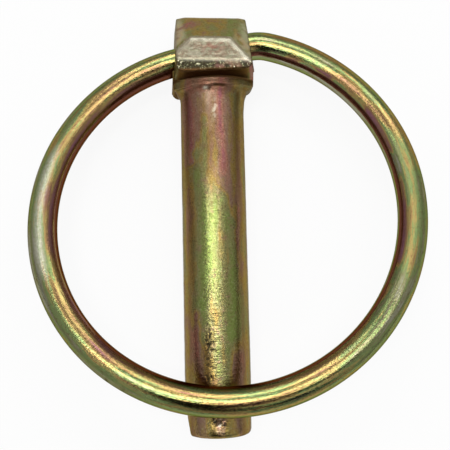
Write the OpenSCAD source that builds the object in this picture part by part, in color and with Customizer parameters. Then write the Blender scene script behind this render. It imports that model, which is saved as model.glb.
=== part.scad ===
// Lynch pin, 8 x 42 mm under the collar, with a sprung wire ring.
// A forged pin with a square nosed head carries a closed ring of round wire. The ring's two ends
// sit in one slanted bore through the head, and its far side snaps over the shank near the tip.
// Origin: on the shank's axis, where the collar under the head ends and the shank begins.
// Axes: +X is right and +Y points from the tip to the head. +Z points away from the flat back
// of the head, so the pin lies on that back with its nose upwards.

/* [Shank] */
// diameter of the shank
shank_d = 8; // [7:0.1:9]
// length of the shank from the collar to its end
shank_l = 41.5; // [41:0.5:46]
// length of the last stretch, which narrows slightly towards the end
lead_l = 6.9; // [6.6:0.1:8]
// diameter at the end
tip_d = 7.8; // [7:0.1:7.9]
// rounding of the end's edge
tip_round = 0.6; // [0.2:0.1:1]
// length of the flat that is cut on the left of the end
tip_flat_l = 3.6; // [2:0.1:5]
// angle between that flat and the shank's axis
tip_flat_angle = 10.5; // [6:0.5:14]

/* [Collar] */
// width of the collar between the head and the shank
collar_w = 10.4; // [9.8:0.1:10.8]
// how far the collar's front stands out from the shank
collar_rise = 0.4; // [0.3:0.1:0.9]
// radius of the collar's bowed front
collar_bow = 6.2; // [5.8:0.1:7]
// length from the free shank to the head's underside
collar_l = 1.4; // [1.3:0.1:2]
// size of the cone that leads from the shank to the collar
fillet = 0.35; // [0.15:0.05:0.35]
// rounding of the collar's lower corners
collar_round = 0.8; // [0.3:0.1:0.9]
// height to which the collar swells out of the head's right side, above the head's underside
swell_right = 2.8; // [1.5:0.1:3]
// height to which it swells out of the left side
swell_left = 0.6; // [0.5:0.1:0.9]
// bevel at the top of that swelling
swell_bevel = 0.4; // [0.2:0.1:0.8]

/* [Head] */
// height of the head from its underside to its top
head_h = 9.2; // [8.8:0.1:10]
// depth of the head from its flat back to its nose
head_t = 10.35; // [9.8:0.05:11]
// height of the nose's rough sheared front
nose_h = 1.4; // [1:0.1:2]
// height of the steep facet above that front
facet_h = 3; // [2.6:0.1:3.4]
// distance that the steep facet leans back
facet_lean = 1.3; // [0.8:0.1:1.8]
// width of the head's back at its top
back_w = 9.9; // [9.4:0.1:10.4]
// angle by which each side spreads from the top to the underside
side_spread = 4; // [1:0.5:5]
// angle by which the left side draws in from the back to the nose
draft_left = 10; // [7:0.5:11]
// angle by which the right side draws in from the back to the nose
draft_right = 5.2; // [3:0.2:7.4]
// rounding of the lower corners as seen from the front
corner_round = 0.8; // [0.5:0.1:1.2]
// width of the sloping upper face at the top, between its two bevels
slope_w = 6.9; // [6.4:0.1:7.4]
// angle by which that face narrows on each side towards the nose
slope_narrow = 11; // [8:0.5:13]
// angle between the sloping face and each bevel
bevel_angle = 19.5; // [16:0.5:26]

/* [Ring] */
// diameter of the wire
wire_d = 3.5; // [3.2:0.1:3.6]
// centreline radius of the ring's left part
left_r = 21.4; // [21:0.1:22]
// where the two parts meet, counted from the bore's direction
join_angle = 137; // [130:1:145]
// centreline radius of the bend at the right side of the head
bend_r = 5; // [4:0.5:6]
// angle through which that bend turns
bend_turn = 26.6; // [25:0.2:28]
// reach of the left end, from the bore's middle to where the wire starts to curve
left_reach = 3.5; // [3.3:0.1:3.7]
// gap between the two wire ends inside the bore
end_gap = 2; // [1:0.5:4]

/* [Fit] */
// height of the bore's middle above the head's underside
bore_up = 4.4; // [4.2:0.1:4.6]
// slant of the bore in the plane of the ring
bore_slant = 11; // [9:0.5:13]
// radial clearance between the wire and the bore
bore_gap = 0.05; // [0.03:0.01:0.1]
// depth of the widened mouths of the bore, at the head's narrow top
mouth_depth = 0.5; // [0.3:0.1:0.8]
// angle at which each mouth widens
mouth_angle = 30; // [20:1:45]
// clearance between the resting ring and the shank
rest_gap = 0.1; // [0.05:0.05:0.3]

/* [Hidden] */
$fn = 96;
over = 1;
shank_r = shank_d / 2;
tip_r = tip_d / 2;
wire_r = wire_d / 2;
collar_front = shank_r + collar_rise;
top_right = collar_l + swell_right;
top_left = collar_l + swell_left;
// the back lies just behind the shank, so the two surfaces don't graze
back_z = -(shank_r + 0.05);
nose_z = back_z + head_t;
head_top = collar_l + head_h;
hinge_y = collar_l + bore_up;
facet_foot = collar_l + nose_h;
facet_top = facet_foot + facet_h;
ridge_z = nose_z - facet_lean;
// the upper face slopes at 45 degrees from the ridge to the top
crest_z = ridge_z - (head_top - facet_top);
// the right part takes the radius that makes it tangent to the left part and to the bend
bend_end = bend_turn - 90;
left_rise = left_r * (1 + sin(join_angle)) - bend_r * (1 + sin(bend_end));
right_r = left_rise / (sin(join_angle) - sin(bend_end));
right_cu = -left_reach + (left_r - right_r) * cos(join_angle);
right_cv = left_r + (left_r - right_r) * sin(join_angle);
bend_u = right_cu + (right_r - bend_r) * cos(bend_end);
// the resting ring crosses the shank's middle here, counted from the bore
cross_u = -2 * left_r * tan(bore_slant);
cross_v = right_cv + sqrt(pow(right_r, 2) - pow(cross_u - right_cu, 2));
cross_y = cross_v - hinge_y;
cone_slope = (shank_r - tip_r) / (lead_l - tip_round);
cross_r = shank_r - cone_slope * (cross_y - shank_l + lead_l);
rest_tilt = asin((cross_r + wire_r + rest_gap) / cross_v);

// a block that fills the space with z above 0
module above() {
    translate([-30, -30, 0])
        cube([60, 60, 30]);
}

// the waste outside a rounded corner, with the corner at the origin and the solid at +x +y
module corner_waste(r) {
    difference() {
        translate([-over, -over])
            square(r + over);
        translate([r, r])
            circle(r);
        translate([r, -2 * over])
            square(r + 4 * over);
        translate([-2 * over, r])
            square(r + 4 * over);
    }
}

// half outline of the shank and the cone above it, with x as the radius and y along the axis
module turned_outline() {
    difference() {
        union() {
            translate([0, lead_l - shank_l])
                square([shank_r, shank_l - lead_l + hinge_y - wire_r]);
            polygon([
                [0, -shank_l],
                [tip_r, -shank_l],
                [tip_r, tip_round - shank_l],
                [shank_r, lead_l - shank_l],
                [0, lead_l - shank_l]
            ]);
            polygon([
                [0, 0],
                [shank_r, 0],
                [shank_r + fillet, fillet],
                [0, fillet]
            ]);
        }
        translate([tip_r, -shank_l])
            mirror([1, 0])
                corner_waste(tip_round);
    }
}

// shank with its cone, cut off at the flat back
module turned_body() {
    difference() {
        rotate([-90, 0, 0])
            rotate_extrude()
                turned_outline();
        translate([0, 0, back_z])
            mirror([0, 0, 1])
                above();
    }
}

// front outline of the collar, with its two lower corners rounded and its two upper ones bevelled
module collar_outline() {
    half = collar_w / 2;
    difference() {
        polygon([
            [-half, fillet],
            [half, fillet],
            [half, top_right - swell_bevel],
            [half - swell_bevel, top_right],
            [0, top_right],
            [0, top_left],
            [swell_bevel - half, top_left],
            [-half, top_left - swell_bevel]
        ]);
        for (side = [0, 1])
            mirror([side, 0])
                translate([half, fillet])
                    mirror([1, 0])
                        corner_waste(collar_round);
    }
}

// collar with flat sides and back and a bowed front
module collar() {
    intersection() {
        translate([0, 0, collar_front - collar_bow])
            rotate([-90, 0, 0])
                cylinder(r = collar_bow, h = top_right + over);
        translate([0, 0, back_z])
            linear_extrude(height = 20)
                collar_outline();
    }
}

// side outline of the head, drawn with z across and y up
module head_profile() {
    polygon([
        [back_z, collar_l],
        [nose_z, collar_l],
        [nose_z, facet_foot],
        [ridge_z, facet_top],
        [crest_z, head_top],
        [back_z, head_top]
    ]);
}

// front outline of the head before its sides are drafted
module head_front() {
    half = back_w / 2 + head_h * tan(side_spread);
    difference() {
        translate([-half, collar_l])
            square([2 * half, head_h]);
        for (side = [0, 1])
            mirror([side, 0])
                translate([half, collar_l])
                    mirror([1, 0])
                        corner_waste(corner_round);
    }
}

// waste beyond the right side of the head, which spreads downwards and draws in towards the nose
module side_waste(draft) {
    translate([back_w / 2, head_top, back_z])
        rotate([0, -draft, side_spread])
            rotate([0, 90, 0])
                above();
}

// waste above the bevel to the right of the sloping upper face
module bevel_waste() {
    translate([slope_w / 2, head_top, crest_z])
        rotate([-45, 0, 0])
            rotate([0, 0, -slope_narrow])
                rotate([0, bevel_angle, 0])
                    above();
}

// forged head without its bore
module head_block() {
    difference() {
        intersection() {
            rotate([0, -90, 0])
                linear_extrude(height = 40, center = true)
                    head_profile();
            translate([0, 0, -20])
                linear_extrude(height = 40)
                    head_front();
        }
        for (side = [0, 1])
            mirror([side, 0, 0]) {
                side_waste(side == 0 ? draft_right : draft_left);
                bevel_waste();
            }
    }
}

// slanted bore through the head, a little wider at both mouths
module ring_bore() {
    bore_r = wire_r + bore_gap;
    mouth_u = back_w / 2 - mouth_depth;
    mouth_l = 3 * mouth_depth;
    translate([0, hinge_y, 0])
        rotate([0, 90, bore_slant]) {
            cylinder(r = bore_r, h = 40, center = true);
            for (side = [0, 1])
                mirror([0, 0, side])
                    translate([0, 0, mouth_u])
                        cylinder(r1 = bore_r, r2 = bore_r + mouth_l * tan(mouth_angle), h = mouth_l);
        }
}

// flat cut on the left of the shank's end
module tip_flat_waste() {
    translate([-tip_r, tip_flat_l - shank_l, 0])
        rotate([0, 0, tip_flat_angle])
            rotate([0, -90, 0])
                above();
}

// forged pin: head, collar and shank in one piece
module pin() {
    color([0.62, 0.56, 0.33])
        difference() {
            union() {
                head_block();
                collar();
                turned_body();
            }
            ring_bore();
            tip_flat_waste();
        }
}

// moves by u and v in a coarse, a fine and a very fine step, so that the wire's pieces meet exactly
module shift(u, v) {
    coarse = [floor(u), floor(v), 0];
    fine = [floor(1000 * (u - coarse.x)) / 1000, floor(1000 * (v - coarse.y)) / 1000, 0];
    translate(coarse)
        translate(fine)
            translate([u, v, 0] - coarse - fine)
                children();
}

// wire along an arc in the plane of the ring, round (cu, cv), from angle a0 to angle a1
module wire_arc(cu, cv, r, a0, a1) {
    shift(cu, cv)
        rotate_extrude(start = a0, angle = a1 - a0)
            shift(r, 0)
                circle(d = wire_d);
}

// straight wire in the bore, from u towards the middle, where side is 1 on the left and -1 on the right
module wire_stub(u, side) {
    shift(u, 0)
        rotate([0, 90 * side, 0])
            cylinder(d = wire_d, h = abs(u) - end_gap / 2);
}

// ring flat in its own plane, with the bore along x and the far side towards +y
module flat_ring() {
    wire_stub(-left_reach, 1);
    wire_arc(-left_reach, left_r, left_r, join_angle, 270);
    wire_arc(right_cu, right_cv, right_r, bend_end, join_angle);
    wire_arc(bend_u, bend_r, bend_r, -90, bend_end);
    wire_stub(bend_u, -1);
}

// spring wire ring, lying on the front of the shank
module ring() {
    color([0.60, 0.57, 0.30])
        translate([0, hinge_y, 0])
            rotate([0, 0, bore_slant])
                rotate([-rest_tilt, 0, 0])
                    mirror([0, 1, 0])
                        flat_ring();
}

pin();
ring();
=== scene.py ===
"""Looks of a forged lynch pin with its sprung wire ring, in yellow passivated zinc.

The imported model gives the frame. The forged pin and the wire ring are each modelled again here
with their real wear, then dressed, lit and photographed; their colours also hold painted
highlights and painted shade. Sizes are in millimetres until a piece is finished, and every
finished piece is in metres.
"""

import logging
import math
from dataclasses import dataclass, fields
from enum import Enum
from typing import Callable, Sequence

import bmesh
import bpy
from mathutils import Matrix, Vector, noise


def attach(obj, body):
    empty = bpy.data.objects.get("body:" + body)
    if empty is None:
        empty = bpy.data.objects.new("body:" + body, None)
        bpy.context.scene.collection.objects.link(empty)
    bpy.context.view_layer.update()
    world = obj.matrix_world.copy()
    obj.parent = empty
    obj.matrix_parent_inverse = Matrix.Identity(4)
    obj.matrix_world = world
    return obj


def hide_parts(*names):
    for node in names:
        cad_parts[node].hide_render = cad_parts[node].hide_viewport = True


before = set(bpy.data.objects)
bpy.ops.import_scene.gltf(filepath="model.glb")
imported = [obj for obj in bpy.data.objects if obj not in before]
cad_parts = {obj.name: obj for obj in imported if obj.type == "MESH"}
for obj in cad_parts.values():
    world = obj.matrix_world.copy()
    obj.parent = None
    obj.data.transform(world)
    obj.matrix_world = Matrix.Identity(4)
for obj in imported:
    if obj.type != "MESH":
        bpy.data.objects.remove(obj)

log = logging.getLogger("lynch_pin")

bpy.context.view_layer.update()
MM = 0.001
TOUCH = 1e-3
WELD = 1e-5
PHOTO_PX = 450
SENSOR_MM = 36.0
BUMP_DISTANCE = 0.00005
OCTAVE_FADE = 0.7
OCTAVE_STEP = 2.1
Colour = tuple[float, float, float]
Output = tuple[bpy.types.Node, str]


class Slot(Enum):
    """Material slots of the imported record."""

    FORGED = "forged_steel"
    WIRE = "spring_wire"


def smooth_step(low: float, high: float, value: float) -> float:
    """Blend smoothly from 0 at low to 1 at high.

    Args:
        low: value at which the blend starts.
        high: value at which the blend ends; it may be the smaller one.
        value: where the blend is read.

    Returns:
        The blend, between 0 and 1.
    """
    share = min(1.0, max(0.0, (value - low) / (high - low)))
    return share * share * (3 - 2 * share)


def bump_at(distance: float, width: float) -> float:
    """Return a rounded hump that is 1 at distance 0 and fades over the width."""
    return math.exp(-((distance / width) ** 2))


def shifted(point: Vector, size: float, seed: float) -> Vector:
    """Return a point counted in humps of the given size and moved away by a seed."""
    return point / size + Vector((seed, 2.3 * seed, -1.7 * seed))


def grain(point: Vector, size: float, seed: float) -> float:
    """Read one octave of smooth noise.

    Args:
        point: place in millimetres.
        size: size of one hump in millimetres.
        seed: shift that makes one noise differ from another.

    Returns:
        A value between about -1 and 1.
    """
    return noise.noise(shifted(point, size, seed))


def rough(point: Vector, size: float, octaves: int, seed: float) -> float:
    """Read several octaves of noise.

    Args:
        point: place in millimetres.
        size: size of the largest hump in millimetres.
        octaves: how many octaves are added.
        seed: shift that makes one noise differ from another.

    Returns:
        A value between about -1 and 1.
    """
    return noise.fractal(shifted(point, size, seed), OCTAVE_FADE, OCTAVE_STEP, octaves)


class NodeBench:
    """Small helper that adds and joins the nodes of one tree."""

    def __init__(self, tree: bpy.types.NodeTree) -> None:
        """Start from an empty tree.

        Args:
            tree: tree of a material or of the world.
        """
        self.tree = tree
        self.tree.nodes.clear()

    def add(self, kind: str, **inputs: object) -> bpy.types.Node:
        """Add a node and set its inputs by name.

        Args:
            kind: type of the node.
            inputs: input names, with spaces as underscores, and their values.

        Returns:
            The new node.
        """
        node = self.tree.nodes.new(kind)
        for key, value in inputs.items():
            node.inputs[key.replace("_", " ")].default_value = value
        return node

    def join(
        self, source: bpy.types.Node, out: str, target: bpy.types.Node, into: str | int
    ) -> None:
        """Link one node's output to another node's input."""
        self.tree.links.new(source.outputs[out], target.inputs[into])

    def math(self, kind: str, first: Output | float, second: Output | float) -> bpy.types.Node:
        """Add a math node on two values.

        Args:
            kind: the operation.
            first: a number, or a pair of a node and the name of its output.
            second: the other value, in the same way.

        Returns:
            The math node, whose output is Value.
        """
        node = self.add("ShaderNodeMath")
        node.operation = kind
        for index, value in enumerate((first, second)):
            if isinstance(value, tuple):
                self.join(*value, node, index)
            else:
                node.inputs[index].default_value = value
        return node

    def fade(
        self, source: Output, over: Sequence[float], levels: Sequence[float]
    ) -> bpy.types.Node:
        """Blend smoothly from one level to another while a value rises.

        Args:
            source: the node that gives the value and the name of its output.
            over: values at which the blend starts and ends.
            levels: levels at its start and at its end.

        Returns:
            The node, whose output is Result.
        """
        node = self.add("ShaderNodeMapRange")
        node.interpolation_type = "SMOOTHSTEP"
        for key, value in zip(("From Min", "From Max", "To Min", "To Max"), (*over, *levels)):
            node.inputs[key].default_value = value
        self.join(*source, node, "Value")
        return node


class ShaderBench(NodeBench):
    """Bench for one metallic material, with the steps that both finishes share."""

    def __init__(self, name: str) -> None:
        """Start an empty material with an output and a metallic shader.

        Args:
            name: name of the material.
        """
        self.material = bpy.data.materials.new(name)
        self.material.use_nodes = True
        super().__init__(self.material.node_tree)
        self.shader = self.add("ShaderNodeBsdfPrincipled", Metallic=1.0)
        self.join(self.shader, "BSDF", self.add("ShaderNodeOutputMaterial"), "Surface")

    def stretched(
        self, source: bpy.types.Node, out: str, scale: Sequence[float]
    ) -> bpy.types.Node:
        """Stretch coordinates along each axis.

        Args:
            source: node that gives the coordinates.
            out: name of its output.
            scale: scale along each axis.

        Returns:
            The mapping node.
        """
        mapping = self.add("ShaderNodeMapping", Scale=scale)
        self.join(source, out, mapping, "Vector")
        return mapping

    def place(self, scale: Sequence[float]) -> bpy.types.Node:
        """Give object coordinates in millimetres, stretched along each axis.

        Args:
            scale: scale along each axis, after the change to millimetres.

        Returns:
            The mapping node.
        """
        coords = self.add("ShaderNodeTexCoord")
        return self.stretched(coords, "Object", [share / MM for share in scale])

    def read(self, name: str) -> bpy.types.Node:
        """Read one of the piece's own attributes.

        Args:
            name: name of the attribute.

        Returns:
            The attribute node.
        """
        node = self.add("ShaderNodeAttribute")
        node.attribute_name = name
        return node

    def noise(
        self, vector: bpy.types.Node, scale: float, detail: float, roughness: float
    ) -> bpy.types.Node:
        """Add a noise texture on a vector.

        Args:
            vector: node whose Vector output places the noise.
            scale: number of humps to a millimetre.
            detail: number of finer octaves.
            roughness: strength of those octaves.

        Returns:
            The noise node.
        """
        node = self.add("ShaderNodeTexNoise", Scale=scale, Detail=detail, Roughness=roughness)
        self.join(vector, "Vector", node, "Vector")
        return node

    def ramp(
        self, source: bpy.types.Node, out: str, stops: Sequence[tuple[float, Sequence[float]]]
    ) -> bpy.types.Node:
        """Turn a value into a colour through a ramp.

        Args:
            source: node that gives the value.
            out: name of its output.
            stops: pairs of position and colour.

        Returns:
            The ramp node.
        """
        node = self.add("ShaderNodeValToRGB")
        marks = node.color_ramp.elements
        while len(marks) < len(stops):
            marks.new(0.5)
        for mark, (position, colour) in zip(marks, stops):
            mark.position = position
            mark.color = (*colour, 1.0)
        self.join(source, out, node, "Fac")
        return node

    def mask(
        self, source: bpy.types.Node, out: str, low: tuple[float, float], high: tuple[float, float]
    ) -> bpy.types.Node:
        """Turn a value into a grey that runs from one stop to another.

        Args:
            source: node that gives the value.
            out: name of its output.
            low: position and grey of the lower stop.
            high: position and grey of the upper stop.

        Returns:
            The ramp node.
        """
        return self.ramp(source, out, [(position, (grey,) * 3) for position, grey in (low, high)])

    def mix(
        self,
        factor: bpy.types.Node,
        out: str,
        first: bpy.types.Node | Colour,
        second: bpy.types.Node | Colour,
    ) -> bpy.types.Node:
        """Mix two colours by a factor.

        Args:
            factor: node that gives the share of the second colour.
            out: name of its output.
            first: colour or node for a factor of 0.
            second: colour or node for a factor of 1.

        Returns:
            The mix node, whose colour output is Result.
        """
        node = self.add("ShaderNodeMix")
        node.data_type = "RGBA"
        node.clamp_factor = True
        self.tree.links.new(factor.outputs[out], node.inputs["Factor"])
        for socket, value in ((node.inputs[6], first), (node.inputs[7], second)):
            if isinstance(value, bpy.types.Node):
                outputs = [o for o in value.outputs if o.type == "RGBA" and o.enabled]
                self.tree.links.new(outputs[0], socket)
            else:
                socket.default_value = (*value, 1.0)
        return node

    def lay(
        self, name: str, under: bpy.types.Node, over: bpy.types.Node | Colour
    ) -> bpy.types.Node:
        """Lay one colour over another by one of the piece's own attributes."""
        return self.mix(self.read(name), "Fac", under, over)

    def hue(self, texture: bpy.types.Node, swing: float) -> bpy.types.Node:
        """Swing the piece's own hue up and down by a noise.

        Args:
            texture: the noise.
            swing: how far the hue swings, half of it to either side.

        Returns:
            The node that gives the hue as its Value.
        """
        shift = self.math("MULTIPLY", (texture, "Fac"), swing)
        hue = self.math("ADD", (self.read("hue"), "Fac"), (shift, "Value"))
        return self.math("SUBTRACT", (hue, "Value"), swing / 2)

    def relief(self, first: Output, second: Output, strength: float) -> None:
        """Roughen the surface by the sum of two heights.

        Args:
            first: node and output name of one height.
            second: node and output name of the other.
            strength: strength of the bump.
        """
        height = self.math("ADD", first, second)
        bump = self.add("ShaderNodeBump", Strength=strength, Distance=BUMP_DISTANCE)
        self.join(height, "Value", bump, "Height")
        self.join(bump, "Normal", self.shader, "Normal")


@dataclass(frozen=True)
class ForgedZinc:
    """Yellow passivated zinc on the forged pin: olive with pink and green bloom, and flanks
    darkened by painted reflection.
    """

    olive: Colour = (0.25, 0.235, 0.095)
    gold: Colour = (0.34, 0.235, 0.065)
    pink: Colour = (0.37, 0.165, 0.115)
    mauve: Colour = (0.29, 0.175, 0.12)
    magenta: Colour = (0.31, 0.105, 0.125)
    green: Colour = (0.215, 0.27, 0.075)
    # brown for specks and stains, also for painted shade
    brown_and_shade: Colour = (0.100, 0.050, 0.018)
    # near-white bare metal, also used for painted highlights
    bare_and_glint: Colour = (0.92, 0.88, 0.68)
    raw: Colour = (0.25, 0.23, 0.15)
    silver: Colour = (0.43, 0.42, 0.275)
    torn: Colour = (0.045, 0.045, 0.028)
    soot: Colour = (0.03, 0.022, 0.012)
    edge_tint: Colour = (0.48, 0.46, 0.42)
    polished: float = 0.05
    satin: float = 0.13
    dull: float = 0.40
    scuffed: float = 0.25
    scuffed_metal: float = 0.45

    def bloomed(
        self, bench: ShaderBench, even: bpy.types.Node, blotch: bpy.types.Node
    ) -> bpy.types.Node:
        """Paint the passivation with its long drifts, its blotches and its specks.

        Args:
            bench: the material's bench.
            even: coordinates in millimetres.
            blotch: noise that places the blotches.

        Returns:
            The node that gives the colour.
        """
        drifts = bench.noise(bench.place((1.0, 0.22, 1.0)), 0.55, 4.0, 0.6)
        base = bench.ramp(bench.hue(drifts, 1.2), "Value", (
            (0.12, self.green), (0.34, self.olive), (0.50, self.gold), (0.66, self.mauve),
            (0.82, self.pink), (1.00, self.magenta),
        ))
        blotched = bench.mask(blotch, "Fac", (0.54, 0.0), (0.70, 0.7))
        body = bench.mix(blotched, "Color", base, self.mauve)
        speck = bench.noise(even, 4.2, 5.0, 0.7)
        darker = bench.mask(speck, "Fac", (0.54, 0.0), (0.70, 0.75))
        body = bench.mix(darker, "Color", body, self.brown_and_shade)
        lighter = bench.mask(speck, "Fac", (0.28, 0.6), (0.44, 0.0))
        return bench.mix(lighter, "Color", body, self.silver)

    def worn_and_glint(
        self, bench: ShaderBench, even: bpy.types.Node, body: bpy.types.Node
    ) -> bpy.types.Node:
        """Lay the facet's scale, the torn face, stains with painted shade, pale edges with painted
        highlights, and pits over the colour.

        Args:
            bench: the material's bench.
            even: coordinates in millimetres.
            body: node that gives the passivation's colour.

        Returns:
            The node that gives the colour with its wear, painted highlights and painted shade.
        """
        patch = bench.noise(even, 1.1, 8.0, 0.85)
        scale = bench.ramp(patch, "Fac", (
            (0.40, self.silver), (0.46, self.mauve), (0.50, self.raw), (0.56, self.silver),
            (0.63, self.mauve),
        ))
        crumb = bench.noise(even, 3.0, 6.0, 0.8)
        torn = bench.ramp(crumb, "Fac", (
            (0.43, self.soot), (0.55, self.torn), (0.60, self.olive), (0.64, self.bare_and_glint),
            (0.70, self.pink),
        ))
        layers = (
            ("raw", bench.lay("blush", scale, self.pink)),
            ("shear", torn),
            # stains, partly painted shade and painted shadow
            ("stain_and_shade", self.brown_and_shade),
            # pale rims: partly bare wear, partly painted highlights
            ("rim_and_glint", self.bare_and_glint),
            ("pit", self.soot),
        )
        for name, over in layers:
            body = bench.lay(name, body, over)
        return body

    def sheen(self, bench: ShaderBench, blotch: bpy.types.Node) -> None:
        """Set how glossy and how metallic each part of the surface is.

        Args:
            bench: the material's bench.
            blotch: noise that places the duller blotches.
        """
        bench.shader.inputs["Specular Tint"].default_value = (*self.edge_tint, 1.0)
        gloss = bench.mask(blotch, "Fac", (0.30, self.polished), (0.70, self.satin))
        gloss = bench.lay("dull", gloss, (self.dull,) * 3)
        gloss = bench.lay("rim_and_glint", gloss, (self.scuffed,) * 3)
        bench.join(gloss, "Result", bench.shader, "Roughness")
        # the pale rims are made less metallic, so their pale colour shows as a painted highlight
        metal = bench.math("MULTIPLY_ADD", (bench.read("rim_and_glint"), "Fac"), self.scuffed_metal - 1.0)
        metal.inputs[2].default_value = 1.0
        bench.join(metal, "Value", bench.shader, "Metallic")

    def build(self) -> bpy.types.Material:
        """Make the material.

        Returns:
            A metallic material whose bloom lies in long drifts down the shank.
        """
        bench = ShaderBench("forged_yellow_zinc")
        even = bench.place((1.0, 1.0, 1.0))
        blotch = bench.noise(even, 0.9, 5.0, 0.7)
        body = self.worn_and_glint(bench, even, self.bloomed(bench, even, blotch))
        bench.join(body, "Result", bench.shader, "Base Color")
        self.sheen(bench, blotch)
        fine = bench.noise(even, 4.0, 4.0, 0.65)
        turned = bench.noise(bench.place((0.35, 2.2, 0.35)), 2.0, 4.0, 0.7)
        lines = bench.math("MULTIPLY", (turned, "Fac"), 1.2)
        bench.relief((fine, "Fac"), (lines, "Value"), 0.6)
        return bench.material


@dataclass(frozen=True)
class WireZinc:
    """Yellow passivated zinc on drawn spring wire, with long streaks and painted shade down the
    inner side.
    """

    olive: Colour = (0.22, 0.215, 0.10)
    gold: Colour = (0.37, 0.27, 0.095)
    rust: Colour = (0.27, 0.155, 0.075)
    plum: Colour = (0.25, 0.11, 0.135)
    green: Colour = (0.19, 0.27, 0.10)
    grey: Colour = (0.32, 0.32, 0.245)
    # pale worn colour, partly a painted highlight
    worn_and_glint: Colour = (0.62, 0.61, 0.50)
    # brown for flecks and for the painted shade down the inner side
    brown_and_shade: Colour = (0.13, 0.05, 0.032)
    soot: Colour = (0.04, 0.03, 0.02)
    edge_tint: Colour = (0.38, 0.36, 0.27)
    polished: float = 0.08
    satin: float = 0.15
    matte: float = 0.32

    def bloomed(
        self, bench: ShaderBench, even: bpy.types.Node, streak: bpy.types.Node
    ) -> bpy.types.Node:
        """Paint the passivation with its streaks and flecks, painted shade down the inner side, and
        wear that is partly a painted highlight.

        Args:
            bench: the material's bench.
            even: coordinates in millimetres.
            streak: noise that is stretched along the wire.

        Returns:
            The node that gives the colour.
        """
        base = bench.ramp(bench.hue(streak, 1.4), "Value", (
            (0.18, self.grey), (0.34, self.olive), (0.43, self.green), (0.53, self.gold),
            (0.66, self.rust), (0.84, self.plum),
        ))
        fleck = bench.noise(even, 3.0, 6.0, 0.75)
        flecked = bench.mask(fleck, "Fac", (0.54, 0.0), (0.70, 0.8))
        body = bench.mix(flecked, "Color", base, self.brown_and_shade)
        # painted shade: a dark brown band along the wire's inner side
        inner = bench.math("ADD", (bench.read("inner"), "Fac"), (streak, "Fac"))
        shaded_inside = bench.mask(inner, "Value", (0.90, 0.0), (1.00, 1.0))
        body = bench.mix(shaded_inside, "Color", body, self.brown_and_shade)
        # pale rubbed band on the left wire: partly wear, partly a painted highlight
        wear_and_sheen = bench.math("MULTIPLY", (bench.read("wear_and_sheen"), "Fac"), (fleck, "Fac"))
        rubbed_and_sheen = bench.mask(wear_and_sheen, "Value", (0.15, 0.0), (0.60, 1.0))
        body = bench.mix(rubbed_and_sheen, "Color", body, self.worn_and_glint)
        return bench.lay("pit", body, self.soot)

    def build(self) -> bpy.types.Material:
        """Make the material.

        Returns:
            A metallic material whose streaks follow the wire.
        """
        bench = ShaderBench("wire_yellow_zinc")
        along = bench.read("wire_place")
        even = bench.place((1.0, 1.0, 1.0))
        streak = bench.noise(bench.stretched(along, "Vector", (1.0, 1.0, 0.09)), 0.8, 5.0, 0.72)
        body = self.bloomed(bench, even, streak)
        bench.join(body, "Result", bench.shader, "Base Color")
        bench.shader.inputs["Specular Tint"].default_value = (*self.edge_tint, 1.0)
        gloss = bench.mask(streak, "Fac", (0.35, self.polished), (0.65, self.satin))
        gloss = bench.lay("matte", gloss, (self.matte,) * 3)
        bench.join(gloss, "Result", bench.shader, "Roughness")
        fine = bench.noise(even, 3.6, 4.0, 0.6)
        drawn = bench.noise(bench.stretched(along, "Vector", (1.0, 1.0, 0.06)), 4.0, 4.0, 0.7)
        bench.relief((fine, "Fac"), (drawn, "Fac"), 0.5)
        return bench.material


def new_object(name: str, bm: bmesh.types.BMesh) -> bpy.types.Object:
    """Turn a bmesh into a linked object and free the bmesh.

    Args:
        name: name of the object and its mesh.
        bm: the shape.

    Returns:
        The new object.
    """
    mesh = bpy.data.meshes.new(name)
    bm.to_mesh(mesh)
    bm.free()
    piece = bpy.data.objects.new(name, mesh)
    bpy.context.scene.collection.objects.link(piece)
    return piece


def applied(piece: bpy.types.Object) -> bpy.types.Mesh:
    """Make a mesh of an object with its modifiers applied.

    Args:
        piece: the object.

    Returns:
        The new mesh.
    """
    graph = bpy.context.evaluated_depsgraph_get()
    return bpy.data.meshes.new_from_object(piece.evaluated_get(graph))


def cut(bm: bmesh.types.BMesh, point: Vector, normal: Vector) -> None:
    """Cut away what lies beyond a plane and close the shape there.

    Args:
        bm: the closed shape.
        point: a point of the plane.
        normal: direction of the waste.
    """
    geometry = bm.verts[:] + bm.edges[:] + bm.faces[:]
    made = bmesh.ops.bisect_plane(
        bm, geom=geometry, plane_co=point, plane_no=normal, clear_outer=True
    )
    edges = [g for g in made["geom_cut"] if isinstance(g, bmesh.types.BMEdge)]
    bmesh.ops.holes_fill(bm, edges=edges, sides=0)


def lathe(outline: Sequence[tuple[float, float]], steps: int) -> bmesh.types.BMesh:
    """Spin an outline round the Y axis.

    Args:
        outline: pairs of radius and y, from one end of the axis to the other.
        steps: number of steps in a full turn.

    Returns:
        The closed shape.
    """
    bm = bmesh.new()
    verts = [bm.verts.new((radius, y, 0)) for radius, y in outline]
    edges = [bm.edges.new(pair) for pair in zip(verts, verts[1:])]
    bmesh.ops.spin(
        bm, geom=verts + edges, axis=(0, 1, 0), cent=(0, 0, 0),
        angle=math.tau, steps=steps, use_merge=True,
    )
    bmesh.ops.remove_doubles(bm, verts=bm.verts[:], dist=WELD)
    bmesh.ops.recalc_face_normals(bm, faces=bm.faces[:])
    return bm


def soften(
    bm: bmesh.types.BMesh, edges: Sequence[bmesh.types.BMEdge], radius: float, segments: int
) -> None:
    """Round some edges of a shape.

    Args:
        bm: the shape.
        edges: the edges to round.
        radius: radius of the rounding, in millimetres.
        segments: number of flat strips that make up each rounding.
    """
    bmesh.ops.bevel(
        bm, geom=edges, offset=radius, segments=segments, profile=0.5, affect="EDGES", material=-1
    )


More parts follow.
